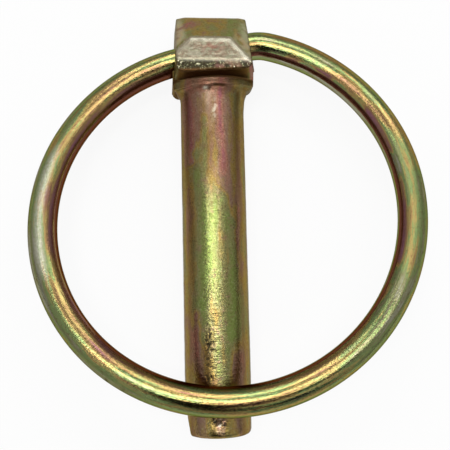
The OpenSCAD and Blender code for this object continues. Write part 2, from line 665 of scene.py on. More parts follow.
@dataclass(frozen=True)
class Streak:
    """One long streak in the passivation of the shank, with its hue and strength."""

    at: float
    top: float
    low: float
    width: float
    hue: float
    strength: float


@dataclass(frozen=True)
class Spot:
    """One small mark on the pin's front: its middle, half sizes and depth in millimetres."""

    x: float
    y: float
    wide: float
    tall: float
    depth: float = 0.0

    def share(self, place: Vector) -> float:
        """Return how strong the mark is at a place, from 0 to 1."""
        return bump_at(place.x - self.x, self.wide) * bump_at(place.y - self.y, self.tall)


@dataclass
class Marks:
    """What the forging, the work and the plating have left on one point of the pin, with the
    painted highlights and painted shade laid on it.
    """

    lift: float = 0.0
    rim_and_glint: float = 0.0
    stain_and_shade: float = 0.0
    pit: float = 0.0
    raw: float = 0.0
    shear: float = 0.0
    blush: float = 0.0
    dull: float = 0.0
    hue: float = 0.0


@dataclass
class SharedSizes:
    """Sizes that the pin and its ring have in common: the shank and the slanted hinge."""

    shank_r: float = 4.0
    tip_r: float = 3.9
    shank_l: float = 41.5
    lead_l: float = 6.9
    tip_round: float = 0.6
    hinge_y: float = 5.8
    slant: float = 11.0

    def radius_at(self, down: float) -> float:
        """Give the shank's radius, which narrows over its last stretch.

        Args:
            down: distance below the collar, in millimetres.

        Returns:
            The radius, in millimetres.
        """
        share = max(0.0, (down - self.shank_l + self.lead_l) / (self.lead_l - self.tip_round))
        return self.shank_r + (self.tip_r - self.shank_r) * share


@dataclass
class ForgedPin(SharedSizes):
    """Forged pin: nosed head, collar and shank in one piece, with its forging marks."""

    tip_flat_l: float = 3.6
    tip_flat_angle: float = 10.5
    fillet_l: float = 1.2
    fillet_over: float = 0.03
    collar_left: float = 4.84
    collar_right: float = 5.33
    collar_back: float = 1.1
    collar_front: float = 4.4
    collar_bow: float = 6.2
    collar_l: float = 1.4
    collar_foot: float = 0.35
    collar_round: float = 1.5
    collar_lean: float = 3.0
    foot_skew: float = 2.0
    top_right: float = 4.2
    top_left: float = 3.0
    back_z: float = -4.05
    nose_z: float = 6.3
    ridge_z: float = 5.0
    crest_z: float = 0.75
    front_z: float = 3.5
    facet_z: float = 4.0
    head_top: float = 10.6
    head_low: float = 1.7
    shank_top: float = -0.9
    facet_foot: float = 2.8
    facet_top: float = 5.8
    block_left: float = 6.0
    half_left: float = 5.0
    half_right: float = 5.05
    spread_left: float = 3.0
    spread_right: float = 8.0
    swell_right: float = 5.34
    draft_left: float = 7.5
    draft_right: float = 6.6
    skew: float = -2.3
    corner_round: float = 1.1
    edge_round: float = 0.13
    sharp_angle: float = 18.0
    slope_left: float = 3.3
    slope_right: float = 3.75
    slope_narrow: float = 11.0
    bevel_angle: float = 19.5
    bore_r: float = 1.8
    bore_reach: float = 20.0
    mouth_l: float = 0.5
    mouth_angle: float = 30.0
    collar_steps: int = 160
    shank_steps: int = 96
    bore_steps: int = 72
    voxel: float = 0.15
    gash: Spot = Spot(1.0, 0.28, 0.8, 0.17, 0.16)
    nick: Spot = Spot(-0.28, -0.10, 0.22, 0.18, 0.12)
    chip: Spot = Spot(-0.66, 0.06, 0.26, 0.15, -0.07)
    crater: Spot = Spot(0.15, -39.9, 0.85, 0.75, 0.10)
    hole: Spot = Spot(-0.55, -40.6, 0.35, 0.28)
    streaks: tuple[Streak, ...] = (
        Streak(-3.7, 1.5, -38.0, 0.5, 0.46, 0.9), Streak(-2.5, 1.0, -9.0, 0.9, 1.0, 0.9),
        Streak(-1.8, -7.5, -34.0, 0.9, 0.20, 0.85), Streak(-0.2, 1.5, -9.0, 0.6, 0.62, 0.9),
        Streak(-0.9, -3.5, -12.0, 0.35, 0.10, 0.9),
        Streak(-3.1, -12.0, -36.0, 0.3, 0.55, 0.8),
        Streak(1.1, 1.5, -7.0, 0.6, 0.95, 1.0), Streak(2.2, 0.5, -16.0, 0.9, 0.70, 0.9),
        Streak(1.3, -5.0, -13.0, 0.7, 0.84, 0.9), Streak(3.0, -1.0, -22.0, 0.35, 0.50, 0.9),
        Streak(3.5, -1.0, -40.0, 0.6, 0.48, 0.95), Streak(-2.7, -14.0, -27.0, 0.8, 0.50, 0.7),
        Streak(2.0, -15.0, -31.0, 0.9, 0.12, 0.9), Streak(2.9, -15.0, -25.0, 0.3, 0.90, 0.7),
        Streak(-1.9, -20.0, -29.0, 0.6, 0.20, 0.8), Streak(-2.6, -28.0, -33.0, 1.0, 0.90, 0.9),
        Streak(-1.6, -30.0, -37.0, 0.6, 0.76, 0.8), Streak(1.9, -31.0, -37.0, 0.7, 0.50, 0.7),
        Streak(2.6, -31.0, -42.0, 0.8, 0.66, 0.8), Streak(-1.5, -38.0, -43.0, 2.0, 0.68, 0.8),
        Streak(0.0, -12.0, -35.0, 0.9, 0.28, 0.95),
    )

    def planes(self) -> dict[str, tuple[Vector, Vector]]:
        """Place the head's faces.

        Returns:
            A pair of a point and an outward normal for each face.
        """
        turn = Matrix.Rotation
        askew = turn(math.radians(self.skew), 3, "Z")
        drafts = ((self.spread_right, self.draft_right), (self.spread_left, self.draft_left))
        right, left = (
            turn(math.radians(spread), 3, "Z") @ turn(math.radians(-draft), 3, "Y")
            @ Vector((1, 0, 0))
            for spread, draft in drafts
        )
        fall = Vector((0, self.ridge_z - self.crest_z, self.head_top - self.facet_top)).normalized()
        bevel = (
            turn(-math.atan2(fall.y, fall.z), 3, "X")
            @ turn(math.radians(-self.slope_narrow), 3, "Z")
            @ turn(math.radians(self.bevel_angle), 3, "Y")
        )
        bevel_out = bevel @ Vector((0, 0, 1))
        facet_fall = Vector((0, self.nose_z - self.ridge_z, self.facet_top - self.facet_foot))
        flip = Vector((-1, 1, 1))
        crest = Vector((0, self.head_top, self.crest_z))
        nose = Vector((0, self.facet_foot, self.nose_z))
        bevel_right = crest + askew @ Vector((self.slope_right, 0, 0))
        bevel_left = crest + askew @ Vector((-self.slope_left, 0, 0))
        return {
            "top": (crest, askew @ Vector((0, 1, 0))),
            "slope": (crest, askew @ fall),
            "facet": (nose, askew @ facet_fall.normalized()),
            "side_right": (Vector((self.half_right, self.head_top, self.back_z)), right),
            "side_left": (Vector((-self.half_left, self.head_top, self.back_z)), left * flip),
            "bevel_right": (bevel_right, askew @ bevel_out),
            "bevel_left": (bevel_left, askew @ (bevel_out * flip)),
        }

    def head(self) -> bpy.types.Object:
        """Model the head as a block that is cut by its planes and then rounded.

        Returns:
            The head without its bore, in millimetres.
        """
        bm = bmesh.new()
        bmesh.ops.create_cube(bm, size=1.0)
        low = Vector((-self.block_left, self.collar_l - 1, self.back_z))
        high = Vector((self.swell_right, self.head_top + 1, self.nose_z))
        bmesh.ops.scale(bm, vec=high - low, verts=bm.verts[:])
        bmesh.ops.translate(bm, vec=(low + high) / 2, verts=bm.verts[:])
        for point, normal in self.planes().values():
            cut(bm, point, normal)
        base = Vector((0, self.collar_l, 0))
        askew = math.radians(self.foot_skew)
        under = Vector((math.sin(askew), -math.cos(askew), 0))
        cut(bm, base, under)
        bmesh.ops.recalc_face_normals(bm, faces=bm.faces[:])
        foot = [
            e for e in bm.edges
            if all(abs((v.co - base).dot(under)) < TOUCH and abs(v.co.x) > 3 for v in e.verts)
            and e.verts[0].co.x * e.verts[1].co.x > 0
        ]
        soften(bm, foot, self.corner_round, 6)
        sharp_from = math.radians(self.sharp_angle)
        sharp = [e for e in bm.edges if e.is_manifold and e.calc_face_angle() > sharp_from]
        soften(bm, sharp, self.edge_round, 2)
        return new_object("head_block", bm)

    def outline(self) -> list[tuple[float, float]]:
        """Draw the half outline of the shank and the fillet at its root.

        Returns:
            Pairs of radius and y, from the tip upwards.
        """
        points = [(0.0, -self.shank_l)]
        core = self.tip_r - self.tip_round
        for step in range(7):
            angle = math.radians(15 * step - 90)
            rise = self.tip_round - self.shank_l + self.tip_round * math.sin(angle)
            points.append((core + self.tip_round * math.cos(angle), rise))
        points.append((self.shank_r, self.lead_l - self.shank_l))
        root = self.collar_front + self.fillet_over
        for step in range(8):
            angle = math.radians(90 * step / 7)
            reach = (root - self.shank_r) * (1 - math.cos(angle))
            rise = self.collar_foot - self.fillet_l + self.fillet_l * math.sin(angle)
            points.append((self.shank_r + reach, rise))
        points += [(root, 1.0), (0.0, 1.0)]
        return points

    def collar(self) -> bpy.types.Object:
        """Model the collar with its flat sides, rounded lower corners and bowed front.

        Returns:
            The collar, in millimetres.
        """
        left, right, mid = -self.collar_left, self.collar_right, self.collar_front - self.collar_bow
        half = [(0, -1), (self.collar_bow, -1), (self.collar_bow, 6), (0, 6)]
        bm = lathe(half, self.collar_steps)
        bmesh.ops.translate(bm, vec=(0, 0, mid), verts=bm.verts[:])
        rise = (self.top_right - self.top_left) / (right - left)
        cut(bm, Vector((right, self.top_right, 0)), Vector((-rise, 1, 0)).normalized())
        foot = Vector((0, self.collar_foot, self.collar_front))
        lean = (self.collar_back - self.collar_foot) / (self.collar_front - self.back_z)
        foot_out = Vector((math.tan(math.radians(self.foot_skew)), -1, -lean)).normalized()
        cut(bm, foot, foot_out)
        inward = math.radians(self.collar_lean)
        sides = [
            (
                Vector((side, 2.0, 0)),
                Vector((math.copysign(math.cos(inward), side), -math.sin(inward), 0)),
            )
            for side in (left, right)
        ]
        for at, side_out in sides:
            cut(bm, at, side_out)
        cut(bm, Vector((0, 0, self.back_z)), Vector((0, 0, -1)))
        bmesh.ops.dissolve_limit(
            bm, angle_limit=math.radians(0.5), verts=bm.verts[:], edges=bm.edges[:]
        )
        low = [
            e for e in bm.edges
            if all(min(abs((v.co - at).dot(out)) for at, out in sides) < TOUCH for v in e.verts)
            and all(abs((v.co - foot).dot(foot_out)) < TOUCH for v in e.verts)
        ]
        soften(bm, low, self.collar_round, 6)
        bmesh.ops.recalc_face_normals(bm, faces=bm.faces[:])
        return new_object("collar", bm)

    def tip_flat(self) -> tuple[Vector, Vector]:
        """Place the flat cut on the left of the tip.

        Returns:
            A point of the cut and its outward normal.
        """
        angle = math.radians(self.tip_flat_angle)
        at = Vector((-self.tip_r, self.tip_flat_l - self.shank_l, 0))
        return at, Vector((-math.cos(angle), -math.sin(angle), 0))

    def turned(self) -> bpy.types.Object:
        """Model the shank.

        Returns:
            The shank with its flat cut on the tip, in millimetres.
        """
        bm = lathe(self.outline(), self.shank_steps)
        cut(bm, Vector((0, 0, self.back_z)), Vector((0, 0, -1)))
        cut(bm, *self.tip_flat())
        bmesh.ops.recalc_face_normals(bm, faces=bm.faces[:])
        return new_object("turned_body", bm)

    def bore(self) -> bpy.types.Object:
        """Model the slanted bore with its two widened mouths as a solid plug.

        Returns:
            The plug, in millimetres.
        """
        start = self.half_right - self.mouth_l
        wide = self.bore_r + 3 * self.mouth_l * math.tan(math.radians(self.mouth_angle))
        half = [
            (self.bore_r, start),
            (wide, start + 3 * self.mouth_l),
            (wide, self.bore_reach),
            (0.0, self.bore_reach),
        ]
        bm = lathe([(r, -y) for r, y in reversed(half)] + half, self.bore_steps)
        turn = Matrix.Rotation(math.radians(self.slant - 90), 3, "Z")
        bmesh.ops.rotate(bm, verts=bm.verts[:], cent=(0, 0, 0), matrix=turn)
        bmesh.ops.translate(bm, vec=(0, self.hinge_y, 0), verts=bm.verts[:])
        return new_object("bore_plug", bm)

    def blank(self) -> bpy.types.Mesh:
        """Join head, collar and shank, bore the head and give the result an even fine mesh.

        Returns:
            The even mesh, in millimetres.
        """
        head, body, collar, plug = self.head(), self.turned(), self.collar(), self.bore()
        for kind, other in (("UNION", body), ("UNION", collar), ("DIFFERENCE", plug)):
            step = head.modifiers.new(other.name, "BOOLEAN")
            step.operation = kind
            step.object = other
            step.solver = "EXACT"
        even = head.modifiers.new("even", "REMESH")
        even.mode = "VOXEL"
        even.voxel_size = self.voxel
        mesh = applied(head)
        for scrap in (head, body, collar, plug):
            bpy.data.objects.remove(scrap)
        return mesh

    def to_round(self, vert: bmesh.types.BMVert) -> None:
        """Move a point of the shank to the shank's radius, but not on the flat cut.

        Args:
            vert: the point.
        """
        at, out = self.tip_flat()
        place = vert.co
        if (place - at).dot(out) > -0.12:
            return
        scale = self.radius_at(-place.y) / max(1e-6, math.hypot(place.x, place.z))
        vert.co = Vector((place.x * scale, place.y, place.z * scale))

    def to_flat(self, vert: bmesh.types.BMVert, planes: Sequence[tuple[Vector, Vector]]) -> None:
        """Move a point of the head onto its face, but not near an edge or a mouth of the bore.

        Args:
            vert: the point.
            planes: the head's faces as pairs of a point and an outward normal.
        """
        slant = math.radians(self.slant)
        way = Vector((math.cos(slant), math.sin(slant), 0))
        offset = vert.co - Vector((0, self.hinge_y, 0))
        if (offset - offset.dot(way) * way).length < self.bore_r + 0.9:
            return
        gaps = sorted(((vert.co - at).dot(out), index) for index, (at, out) in enumerate(planes))
        (second, _), (nearest, index) = gaps[-2:]
        if abs(nearest) < 0.1 and second < -0.18 and math.hypot(vert.co.x, vert.co.z) > 0.1:
            vert.co = vert.co - nearest * planes[index][1]

    def true_up(self, bm: bmesh.types.BMesh) -> None:
        """Bring points back onto the round and flat faces that the even mesh has blurred.

        Args:
            bm: the even mesh, in millimetres.
        """
        planes = list(self.planes().values())
        planes.append((Vector((0, 0, self.nose_z)), Vector((0, 0, 1))))
        planes.append((Vector((0, 0, self.back_z)), Vector((0, 0, -1))))
        for vert in bm.verts:
            if self.tip_round - self.shank_l < vert.co.y < self.shank_top:
                self.to_round(vert)
            elif vert.co.y > self.head_low:
                self.to_flat(vert, planes)

    def bloom(self, place: Vector) -> float:
        """Give the passivation's hue at a place.

        Args:
            place: a point of the pin, in millimetres.

        Returns:
            A value from 0, green, to 1, pink.
        """
        hue = 0.42 + 0.10 * grain(place, 3.0, 4.0)
        if place.y > self.head_low:
            russet = bump_at(math.hypot(place.x + 2.7, place.y - 9.0), 1.2)
            russet *= 0.7 + 0.5 * grain(place, 0.5, 2.0)
            torn_right = smooth_step(0.0, 1.0, place.x) * smooth_step(3.0, 2.6, place.y)
            hue = hue - 0.01 - 0.05 * smooth_step(-1.0, 3.0, place.x)
            return hue + 0.42 * russet + 0.5 * torn_right
        across = place.x + 0.35 * grain(Vector((0, place.y, 0)), 4.0, 3.0)
        across += 0.12 * grain(place, 0.7, 5.0)
        down = place.y + 2.0 * grain(place, 1.2, 6.0)
        for streak in self.streaks:
            share = streak.strength * bump_at(across - streak.at, streak.width)
            share *= smooth_step(streak.low - 2.0, streak.low + 2.0, down)
            share *= smooth_step(streak.top + 2.0, streak.top - 2.0, down)
            hue += (streak.hue - hue) * share
        collar = smooth_step(-0.7, 0.1, place.y) * smooth_step(1.7, 1.3, place.y)
        collar *= smooth_step(3.6, 2.0, abs(place.x))
        return hue + (0.80 - hue) * 0.7 * collar

    def head_edges(self, place: Vector, gap: dict[str, float], marks: Marks) -> None:
        """Wear the head's edges pale and raise them a little; the pale rims are partly painted
        highlights.

        Args:
            place: a point of the head, in millimetres.
            gap: distance of the point from each face of the head.
            marks: the point's marks, which are added to here.
        """
        if place.z > self.front_z:
            whole = 0.55 + 0.45 * smooth_step(-0.45, 0.1, grain(place, 0.6, 3.0))
            lower = bump_at(math.hypot(gap["facet"], self.nose_z - place.z), 0.09)
            edge = max(
                bump_at(math.hypot(gap["facet"], gap["slope"]), 0.11),
                bump_at(math.hypot(gap["facet"], gap["bevel_right"]), 0.12),
                0.30 * bump_at(math.hypot(gap["facet"], gap["bevel_left"]), 0.15),
                0.30 * lower * smooth_step(2.0, 2.4, place.y),
            )
            # pale rims where the rounded edges catch the lamps: painted highlights, partly wear
            marks.rim_and_glint = edge * whole
            marks.lift += 0.03 * edge * whole
        # painted highlight, partly wear, along the edge between the top and the slope
        marks.rim_and_glint = max(marks.rim_and_glint, 0.28 * bump_at(math.hypot(gap["top"], gap["slope"]), 0.22))

    def torn_face(self, place: Vector, marks: Marks) -> None:
        """Break open the face under the nose, less so on its right.

        Args:
            place: a point of the head, in millimetres.
            marks: the point's marks, which are added to here.
        """
        foot = self.facet_foot + math.tan(math.radians(self.skew)) * place.x
        torn = smooth_step(0.30, 0.1, self.nose_z - place.z)
        torn *= smooth_step(foot + 0.05, foot - 0.08, place.y)
        whole = 0.35 * smooth_step(0.0, 1.0, place.x)
        whole *= smooth_step(-0.3, 0.2, grain(place, 0.7, 22.0))
        marks.shear = torn * (1 - whole)
        if marks.shear > 0:
            marks.lift += marks.shear * (0.08 * rough(place, 0.40, 4, 7.0) - 0.03)

    def head_faces(self, place: Vector, gap: dict[str, float], marks: Marks) -> None:
        """Give the facet its scale and blush, pale its edges and bevels partly with painted
        highlights and reflections, paint shadow under the head and darken the side faces.

        Args:
            place: a point of the head, in millimetres.
            gap: distance of the point from each face of the head.
            marks: the point's marks, which are added to here.
        """
        if gap["facet"] < 0.3 and place.z > self.facet_z:
            marks.raw = 1.0 - marks.shear
            marks.lift += 0.02 * rough(place, 0.8, 3, 1.0)
            flat = smooth_step(0.14, 0.06, gap["facet"]) * (1.0 - marks.shear)
            flat *= 0.35 + 0.65 * smooth_step(2.9, 3.5, place.y)
            pale = min(1.0, smooth_step(0.2, -2.2, place.x) + smooth_step(4.2, 3.2, place.y))
            # pale wear on the facet, partly a painted highlight
            worn_and_glint = 0.25 * flat * (0.45 + 0.55 * pale)
            worn_and_glint *= smooth_step(-0.45, 0.35, grain(place, 0.45, 14.0))
            blush = flat * bump_at(math.hypot(0.6 * (place.x - 0.5), place.y - 4.7), 1.1)
            marks.blush = 0.75 * blush * smooth_step(-0.35, 0.25, grain(place, 0.6, 16.0))
        else:
            # the bevel strips are painted lighter: a painted reflection, partly wear
            worn_and_glint = 0.20 * smooth_step(0.40, 0.08, min(gap["bevel_left"], gap["bevel_right"]))
            worn_and_glint *= smooth_step(0.05, 0.3, gap["slope"])
            worn_and_glint *= smooth_step(-0.6, 0.3, grain(place, 0.8, 15.0))
        marks.rim_and_glint = max(marks.rim_and_glint, worn_and_glint)
        flank = smooth_step(0.25, 0.08, min(gap["side_left"], gap["side_right"]))
        # painted shadow in two bands under the nose and head; darker near the side faces
        marks.stain_and_shade = max(
            0.95 * smooth_step(1.85, 1.5, place.y) * smooth_step(1.1, 1.35, place.y),
            0.5 * smooth_step(1.5, 1.3, place.y) * smooth_step(0.1, 0.9, place.y),
            0.6 * flank * (0.6 + 0.4 * grain(place, 1.0, 2.0)),
        )

    def collar_marks(self, place: Vector, marks: Marks) -> None:
        """Cut the gash and the nick, raise the chip with a painted highlight on it, and paint shade
        on the collar's front under the head and in the gash.

        Args:
            place: a point of the pin, in millimetres.
            marks: the point's marks, which are added to here.
        """
        front = smooth_step(0.0, 2.5, place.z)
        along = math.exp(-(((place.x - self.gash.x) / self.gash.wide) ** 4))
        gash = along * bump_at(place.y - self.gash.y, self.gash.tall) * front
        nick = self.nick.share(place) * front
        chip = self.chip.share(place) * front
        marks.lift -= self.gash.depth * gash + self.nick.depth * nick
        marks.lift -= self.chip.depth * chip
        # painted shade on the collar's front under the head, and painted shade in the gash
        band = smooth_step(-0.9, 0.1, place.y) * smooth_step(1.5, 1.2, place.y)
        marks.stain_and_shade = max(
            marks.stain_and_shade,
            band * (0.42 + 0.2 * grain(place, 0.6, 8.0)),
            0.9 * smooth_step(0.2, 0.7, gash),
        )
        marks.pit = max(marks.pit, 0.6 * smooth_step(0.3, 0.8, nick))
        # pale spot on the raised chip: a painted highlight
        marks.rim_and_glint = max(marks.rim_and_glint, 0.9 * chip)

    def crater_marks(self, place: Vector, marks: Marks) -> None:
        """Sink the crater near the tip, with the dark hole at its lower left and painted highlights
        in it.

        Args:
            place: a point of the pin, in millimetres.
            marks: the point's marks, which are added to here.
        """
        front = smooth_step(0.0, 2.5, place.z)
        crater = self.crater.share(place) * front
        marks.lift += crater * (0.10 * rough(place, 0.6, 3, 3.0) - self.crater.depth)
        marks.pit = max(
            marks.pit,
            crater * smooth_step(0.05, 0.35, grain(place, 0.55, 4.0)),
            0.9 * self.hole.share(place) * front,
        )
        # pale specks in the crater: painted highlights
        bright = 0.5 * crater * smooth_step(0.1, 0.4, grain(place, 0.45, 21.0))
        marks.rim_and_glint = max(marks.rim_and_glint, bright)

    def skin_marks(self, place: Vector, marks: Marks) -> None:
        """Roughen the whole skin and swell the collar's right front edge into the shank.

        Args:
            place: a point of the pin, in millimetres.
            marks: the point's marks, which are added to here.
        """
        marks.lift += 0.012 * rough(place, 2.4, 3, 5.0)
        wave = Vector((0.4 * place.x, place.y, 0.4 * place.z))
        marks.lift += 0.012 * rough(wave, 0.9, 3, 13.0) * smooth_step(-8.0, -16.0, place.y)
        swell = 0.16 * smooth_step(-2.6, 0.0, place.y) * smooth_step(0.6, 0.0, place.y)
        marks.lift += swell * smooth_step(2.5, 3.8, place.x)

    def shank_marks(self, place: Vector, marks: Marks) -> None:
        """Paint shade over the upper shank's highlight and a dark reflection line down each flank,
        and scratch its top.

        Args:
            place: a point of the pin, in millimetres.
            marks: the point's marks, which are added to here.
        """
        # painted shade over the upper shank, strongest in the middle where the highlight falls, to
        # dim it
        upper = smooth_step(-17.0, -6.0, place.y) * smooth_step(1.2, 0.8, place.y)
        middle = bump_at(place.x + 0.4, 1.0) * smooth_step(-0.5, -2.5, place.y)
        middle -= 0.35 * bump_at(place.x - 1.8, 1.0)
        stain_and_shade = upper * (0.16 + 0.45 * middle + 0.3 * grain(place, 0.9, 9.0))
        marks.stain_and_shade = max(marks.stain_and_shade, stain_and_shade)
        if place.z > 0:
            faded = bump_at(place.x + 0.45, 0.35) * smooth_step(0.2, -0.6, place.y)
            faded *= smooth_step(-4.0, -2.0, place.y)
            scratch = bump_at(place.x - 0.35 - 0.12 * (place.y + 3.0), 0.28)
            scratch *= bump_at(place.y + 2.6, 1.1)
            scratch *= smooth_step(-0.3, 0.2, grain(place, 0.35, 17.0))
            marks.rim_and_glint = max(marks.rim_and_glint, 0.07 * faded, 0.4 * scratch)
            marks.lift -= 0.02 * scratch
        if place.y < 0:
            # painted reflection: a dark line down each flank, about 51 degrees from the front
            lean = math.degrees(math.atan2(abs(place.x), place.z))
            streak = bump_at(lean - 51 - 4 * grain(place, 6.0, 2.0), 9.0)
            marks.stain_and_shade = max(marks.stain_and_shade, 0.6 * streak)

    def dotted_marks(self, place: Vector, marks: Marks) -> None:
        """Strew small dark pits over the lower shank and darken the skin between them.

        Args:
            place: a point of the pin, in millimetres.
            marks: the point's marks, which are added to here.
        """
        if place.z > 3 and -36.0 < place.y < -24.0:
            dotted = smooth_step(0.05, 0.35, grain(place, 0.36, 12.0))
            dotted *= smooth_step(-26.5, -30.0, place.y)
            dotted *= bump_at(place.x + 0.85, 0.65)
            marks.lift -= 0.05 * dotted
            marks.pit = max(marks.pit, 0.9 * dotted)
            darker_skin = bump_at(place.x + 1.1, 0.65) * smooth_step(-28.0, -31.0, place.y)
            marks.stain_and_shade = max(marks.stain_and_shade, 0.65 * darker_skin)

    def weather(self, bm: bmesh.types.BMesh) -> None:
        """Give the surface its forging marks, painted highlights and painted shade, and note them
        in attributes.

        Args:
            bm: the even mesh; its attributes for the finish are filled here.
        """
        names = [field.name for field in fields(Marks) if field.name != "lift"]
        layers = {name: bm.verts.layers.float.new(name) for name in names}
        planes = self.planes()
        steps = (
            self.collar_marks, self.crater_marks, self.skin_marks, self.shank_marks,
            self.dotted_marks,
        )
        bm.normal_update()
        normals = [vert.normal.copy() for vert in bm.verts]
        for vert, out in zip(bm.verts, normals):
            place = vert.co.copy()
            marks = Marks(dull=smooth_step(-17.0, -8.0, place.y), hue=self.bloom(place))
            if place.y > self.collar_l - 0.2:
                gap = {key: abs((place - at).dot(way)) for key, (at, way) in planes.items()}
                self.head_edges(place, gap, marks)
                self.torn_face(place, marks)
                self.head_faces(place, gap, marks)
            for step in steps:
                step(place, marks)
            vert.co = place + out * marks.lift
            for name, layer in layers.items():
                vert[layer] = getattr(marks, name)

    def build(self) -> bpy.types.Object:
        """Build the finished pin.

        Returns:
            The pin, in metres, riding on its body.
        """
        mesh = self.blank()
        bm = bmesh.new()
        bm.from_mesh(mesh)
        bpy.data.meshes.remove(mesh)
        self.true_up(bm)
        self.weather(bm)
        bmesh.ops.scale(bm, vec=(MM, MM, MM), verts=bm.verts[:])
        for face in bm.faces:
            face.smooth = True
        piece = new_object("pin_forging", bm)
        piece.data.materials.append(ForgedZinc().build())
        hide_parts("pin")
        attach(piece, "pin")
        return piece


@dataclass
class SpringRing(SharedSizes):
    """Sprung ring of round wire, bent in two arcs and one tight bend, at rest on the shank."""

    wire_r: float = 1.75
    left_r: float = 21.4
    bend_r: float = 5.0
    join_angle: float = 137.0
    bend_turn: float = 26.6
    left_reach: float = 3.5
    end_gap: float = 2.0
    rest_gap: float = 0.1
    wire_steps: int = 56
    steps_per_degree: float = 1.3

    def __post_init__(self) -> None:
        """Work out the right arc and the resting tilt."""
        join, end = math.radians(self.join_angle), math.radians(self.bend_turn - 90)
        rise = self.left_r * (1 + math.sin(join)) - self.bend_r * (1 + math.sin(end))
        self.right_r = rise / (math.sin(join) - math.sin(end))
        self.left_at = Vector((-self.left_reach, self.left_r, 0))
        shift = self.left_r - self.right_r
        self.right_at = self.left_at + shift * Vector((math.cos(join), math.sin(join), 0))
        bend_x = self.right_at.x + (self.right_r - self.bend_r) * math.cos(end)
        self.bend_at = Vector((bend_x, self.bend_r, 0))
        across = -2 * self.left_r * math.tan(math.radians(self.slant)) - self.right_at.x
        far = self.right_at.y + math.sqrt(self.right_r**2 - across**2)
        under = self.radius_at(far - self.hinge_y)
        self.tilt = math.asin((under + self.wire_r + self.rest_gap) / far)

    def place(self) -> Matrix:
        """Place the ring on the pin.

        Returns:
            The matrix from the ring's own plane to the frame, in millimetres.
        """
        return (
            Matrix.Translation((0, self.hinge_y, 0))
            @ Matrix.Rotation(math.radians(self.slant), 4, "Z")
            @ Matrix.Rotation(-self.tilt, 4, "X")
            @ Matrix.Diagonal((1, -1, 1, 1))
        )

    def draw(
        self, bm: bmesh.types.BMesh, ends: Sequence[bmesh.types.BMEdge], by: float
    ) -> list[bmesh.types.BMEdge]:
        """Draw the wire on in a straight line.

        Args:
            bm: the wire so far.
            ends: edges of its open end.
            by: distance along X, in millimetres.

        Returns:
            The edges of the new open end.
        """
        out = bmesh.ops.extrude_edge_only(bm, edges=ends)["geom"]
        fresh = {g for g in out if isinstance(g, bmesh.types.BMVert)}
        bmesh.ops.translate(bm, vec=(by, 0, 0), verts=list(fresh))
        edges = [g for g in out if isinstance(g, bmesh.types.BMEdge)]
        return [e for e in edges if all(v in fresh for v in e.verts)]

    def bend(
        self,
        bm: bmesh.types.BMesh,
        ends: Sequence[bmesh.types.BMEdge],
        centre: Vector,
        degrees: float,
    ) -> list[bmesh.types.BMEdge]:
        """Bend the wire on round a point.

        Args:
            bm: the wire so far.
            ends: edges of its open end.
            centre: middle of the bend, in the ring's own plane.
            degrees: turn of the bend, clockwise where it is negative.

        Returns:
            The edges of the new open end.
        """
        out = bmesh.ops.spin(
            bm,
            geom=list(ends) + list({v for e in ends for v in e.verts}),
            cent=centre,
            axis=(0, 0, 1),
            angle=math.radians(degrees),
            steps=max(6, round(abs(degrees) * self.steps_per_degree)),
        )["geom_last"]
        return [g for g in out if isinstance(g, bmesh.types.BMEdge)]

    def tube(self) -> bmesh.types.BMesh:
        """Sweep the wire along its path in the ring's own plane.

        Returns:
            The closed wire.
        """
        bm = bmesh.new()
        upright = Matrix.Rotation(math.radians(90), 4, "Y")
        made = bmesh.ops.create_circle(
            bm, segments=self.wire_steps, radius=self.wire_r, matrix=upright
        )
        bmesh.ops.translate(bm, vec=(-self.end_gap / 2, 0, 0), verts=made["verts"])
        first = bm.edges[:]
        ends = self.draw(bm, first, self.end_gap / 2 - self.left_reach)
        ends = self.bend(bm, ends, self.left_at, self.join_angle - 270)
        ends = self.bend(bm, ends, self.right_at, self.bend_turn - 90 - self.join_angle)
        ends = self.bend(bm, ends, self.bend_at, -self.bend_turn)
        ends = self.draw(bm, ends, self.end_gap / 2 - self.bend_at.x)
        for end in (first, ends):
            bmesh.ops.edgeloop_fill(bm, edges=end)
        bmesh.ops.remove_doubles(bm, verts=bm.verts[:], dist=WELD)
        bmesh.ops.recalc_face_normals(bm, faces=bm.faces[:])
        return bm

    def wire_place(self, at: Vector) -> Vector:
        """Give a point's place on the wire.

        Args:
            at: a point in the ring's own plane coordinates.

        Returns:
            Outward offset, sideways offset and distance along the wire, in millimetres.
        """
        left_len = self.left_r * math.radians(270 - self.join_angle)
        right_len = self.right_r * math.radians(self.join_angle + 90 - self.bend_turn)
        bend_angle = math.degrees(math.atan2(at.y - self.bend_at.y, at.x - self.bend_at.x))
        left_angle = math.degrees(math.atan2(at.y - self.left_at.y, at.x - self.left_at.x)) % 360
        if abs(at.y) < self.wire_r + 0.25 and -self.left_reach <= at.x <= self.bend_at.x:
            if at.x < 0:
                return Vector((-at.y, at.z, at.x + self.left_reach - 3))
            return Vector((-at.y, at.z, left_len + right_len + self.bend_at.x - at.x + 2.4))
        near_bend = math.hypot(at.x - self.bend_at.x, at.y - self.bend_at.y) < self.bend_r + 2.5
        if near_bend and -91 < bend_angle < self.bend_turn - 90:
            radius = math.hypot(at.x - self.bend_at.x, at.y - self.bend_at.y) - self.bend_r
            turn = math.radians(self.bend_turn - 90 - bend_angle)
            return Vector((radius, at.z, left_len + right_len + self.bend_r * turn))
        if self.join_angle <= left_angle <= 270.5:
            radius = math.hypot(at.x - self.left_at.x, at.y - self.left_at.y) - self.left_r
            return Vector((radius, at.z, self.left_r * math.radians(270 - left_angle)))
        angle = math.degrees(math.atan2(at.y - self.right_at.y, at.x - self.right_at.x))
        radius = math.hypot(at.x - self.right_at.x, at.y - self.right_at.y) - self.right_r
        turn = math.radians(self.join_angle - angle)
        return Vector((radius, at.z, left_len + self.right_r * turn))

